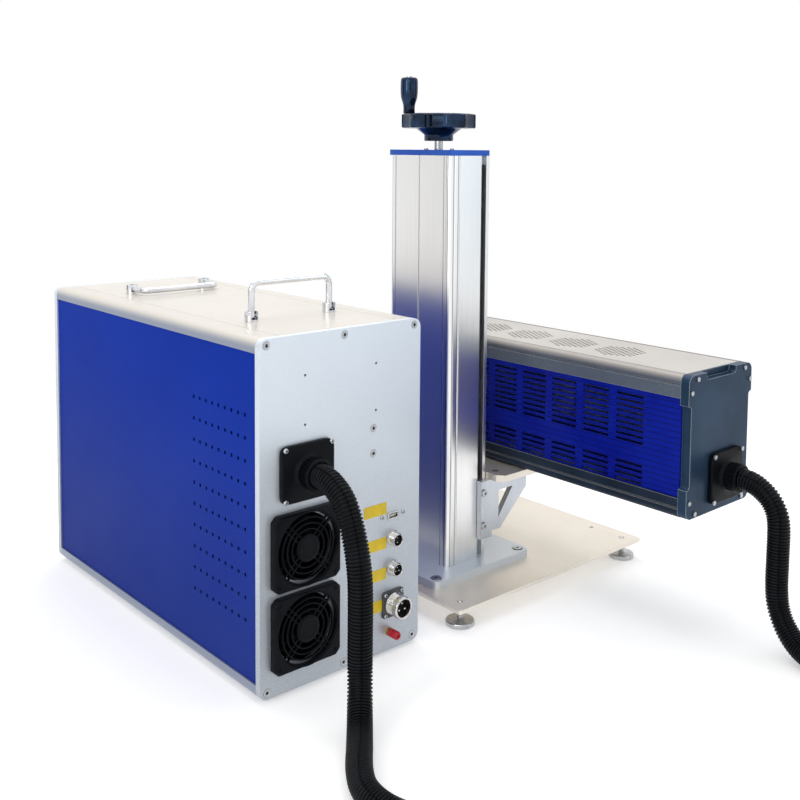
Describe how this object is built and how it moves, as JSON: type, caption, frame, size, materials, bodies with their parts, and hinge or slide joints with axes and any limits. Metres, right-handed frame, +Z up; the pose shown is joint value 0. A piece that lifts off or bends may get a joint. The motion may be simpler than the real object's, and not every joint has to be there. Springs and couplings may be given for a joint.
{
  "type": "laser marking machine",
  "caption": "Bench laser marking machine: a vented power cabinet joined by a ribbed hose to a hand-wheel column that raises and lowers a long laser arm with a downward scan head.",
  "frame": {"origin": "on the floor, at the middle of the box round cabinet and stand, without the loose hose", "axes": "+Z up, +X towards the cabinet, +Y towards the rear where the sockets and the hose are"},
  "size_m": [0.6943, 1.071, 0.6989],
  "materials": {
    "cabinet_grey": "fine satin powder coat",
    "cabinet_white": "fine satin powder coat",
    "panel_blue": "semi-matte powder coat",
    "plate_alu": "bead blasted and clear anodised",
    "stand_alu": "satin anodised",
    "blue_alu": "blue anodised",
    "zinc_steel": "bright zinc",
    "ground_steel": "ground and polished",
    "chrome": "polished",
    "nickel": "nickel plated",
    "brass": "plain",
    "black_plastic": "fine texture",
    "hose_black": "extruded",
    "wheel_black": "polished moulding",
    "yellow_label": "printed foil",
    "yellow_plastic": "moulded",
    "red_plastic": "moulded",
    "green_plastic": "moulded, translucent",
    "board_green": "solder mask",
    "rubber": "moulded",
    "arm_slate": "satin",
    "arm_white": "satin",
    "arm_blue": "satin",
    "head_black": "black anodised look",
    "lens_glass": "polished, coated",
    "mirror_glass": "polished"
  },
  "bodies": {
    "stand": {"cabinet_pads": "rubber", "cabinet_rails": "cabinet_grey", "cabinet_top": "cabinet_white", "cabinet_bottom": "cabinet_grey", "side_panels": "panel_blue", "front_plate": "plate_alu", "rear_plate": "plate_alu", "cabinet_screws": "zinc_steel", "handle_sockets": "chrome", "fan_frames": "black_plastic", "fan_covers": "black_plastic", "cabinet_gland": "black_plastic", "data_sockets": "nickel", "power_socket": "nickel", "earth_post": "brass", "port_labels": "yellow_label", "power_supply": "zinc_steel", "laser_driver": "arm_slate", "control_card": "board_green", "stop_switch": "yellow_plastic", "key_switch": "nickel", "power_switch": "nickel", "base_plate": "stand_alu", "levelling_feet": "zinc_steel", "column_foot": "stand_alu", "column_bolts": "zinc_steel", "column_profile": "stand_alu", "column_cover": "stand_alu", "column_top": "blue_alu", "end_blocks": "stand_alu", "guide_rods": "ground_steel", "hose": "hose_black"},
    "arm": {"carriage": "stand_alu", "bracket": "stand_alu", "shelf": "stand_alu", "arm_screws": "zinc_steel", "arm_rails": "arm_slate", "arm_top": "arm_white", "arm_sides": "arm_blue", "arm_bottom": "arm_slate", "arm_rear_cover": "arm_slate", "arm_front_plate": "arm_slate", "arm_gland": "black_plastic", "laser_tube": "stand_alu", "scan_head": "head_black", "scan_lens": "lens_glass", "galvo_motors": "head_black"},
    "wheel": {"lead_screw": "ground_steel", "handwheel": "wheel_black"},
    "grip": {"wheel_grip": "wheel_black"},
    "rear_handle": {"handle_rear": "chrome"},
    "front_handle": {"handle_front": "chrome"},
    "upper_fan": {"fan_rotor_upper": "black_plastic"},
    "lower_fan": {"fan_rotor_lower": "black_plastic"},
    "stop_knob": {"stop_button": "red_plastic"},
    "key": {"key": "nickel"},
    "power_knob": {"power_button": "green_plastic"},
    "earth_nut": {"earth_cap": "red_plastic"},
    "scan_mirror_x": {"mirror_x": "mirror_glass"},
    "scan_mirror_y": {"mirror_y": "mirror_glass"}
  },
  "joints": [
    {"name": "lift", "type": "slide", "parent": "stand", "child": "arm", "axis": [0, 0, 1], "range_m": [0, 0.42], "deforming": ["hose"]},
    {"name": "wheel_turn", "type": "hinge", "parent": "stand", "child": "wheel", "pos_m": [-0.051, 0.024, 0.62], "axis": [0, 0, 1], "range_deg": [-30300, 0]},
    {"name": "grip_spin", "type": "hinge", "parent": "wheel", "child": "grip", "pos_m": [-0.02006, -0.0029, 0.66], "axis": [0, 0, 1], "continuous": true},
    {"name": "rear_handle_fold", "type": "hinge", "parent": "stand", "child": "rear_handle", "pos_m": [0.214, 0.05, 0.407], "axis": [1, 0, 0], "range_deg": [-90, 0]},
    {"name": "front_handle_fold", "type": "hinge", "parent": "stand", "child": "front_handle", "pos_m": [0.214, -0.248, 0.407], "axis": [1, 0, 0], "range_deg": [0, 90]},
    {"name": "upper_fan_spin", "type": "hinge", "parent": "stand", "child": "upper_fan", "pos_m": [0.27, 0.139, 0.163], "axis": [0, 1, 0], "continuous": true},
    {"name": "lower_fan_spin", "type": "hinge", "parent": "stand", "child": "lower_fan", "pos_m": [0.27, 0.139, 0.0715], "axis": [0, 1, 0], "continuous": true},
    {"name": "stop_push", "type": "slide", "parent": "stand", "child": "stop_knob", "axis": [0, 1, 0], "range_m": [0, 0.004]},
    {"name": "key_turn", "type": "hinge", "parent": "stand", "child": "key", "pos_m": [0.269, -0.371, 0.334], "axis": [0, 1, 0], "range_deg": [0, 90]},
    {"name": "power_push", "type": "slide", "parent": "stand", "child": "power_knob", "axis": [0, 1, 0], "range_m": [0, 0.0025], "stiffness_N_per_m": 300},
    {"name": "earth_nut_turn", "type": "hinge", "parent": "stand", "child": "earth_nut", "pos_m": [0.146, 0.154, 0.027], "axis": [0, 1, 0], "range_deg": [-720, 0]},
    {"name": "scan_x", "type": "hinge", "parent": "arm", "child": "scan_mirror_x", "pos_m": [-0.206, -0.237, 0.266], "axis": [1, 0, 0], "range_deg": [-10, 10]},
    {"name": "scan_y", "type": "hinge", "parent": "arm", "child": "scan_mirror_y", "pos_m": [-0.206, -0.237, 0.244], "axis": [0, 1, 0], "range_deg": [-10, 10]}
  ],
  "couplings": [
    {"joint": "wheel_turn", "follows": "lift", "rad_per_m": -1256.6}
  ]
}
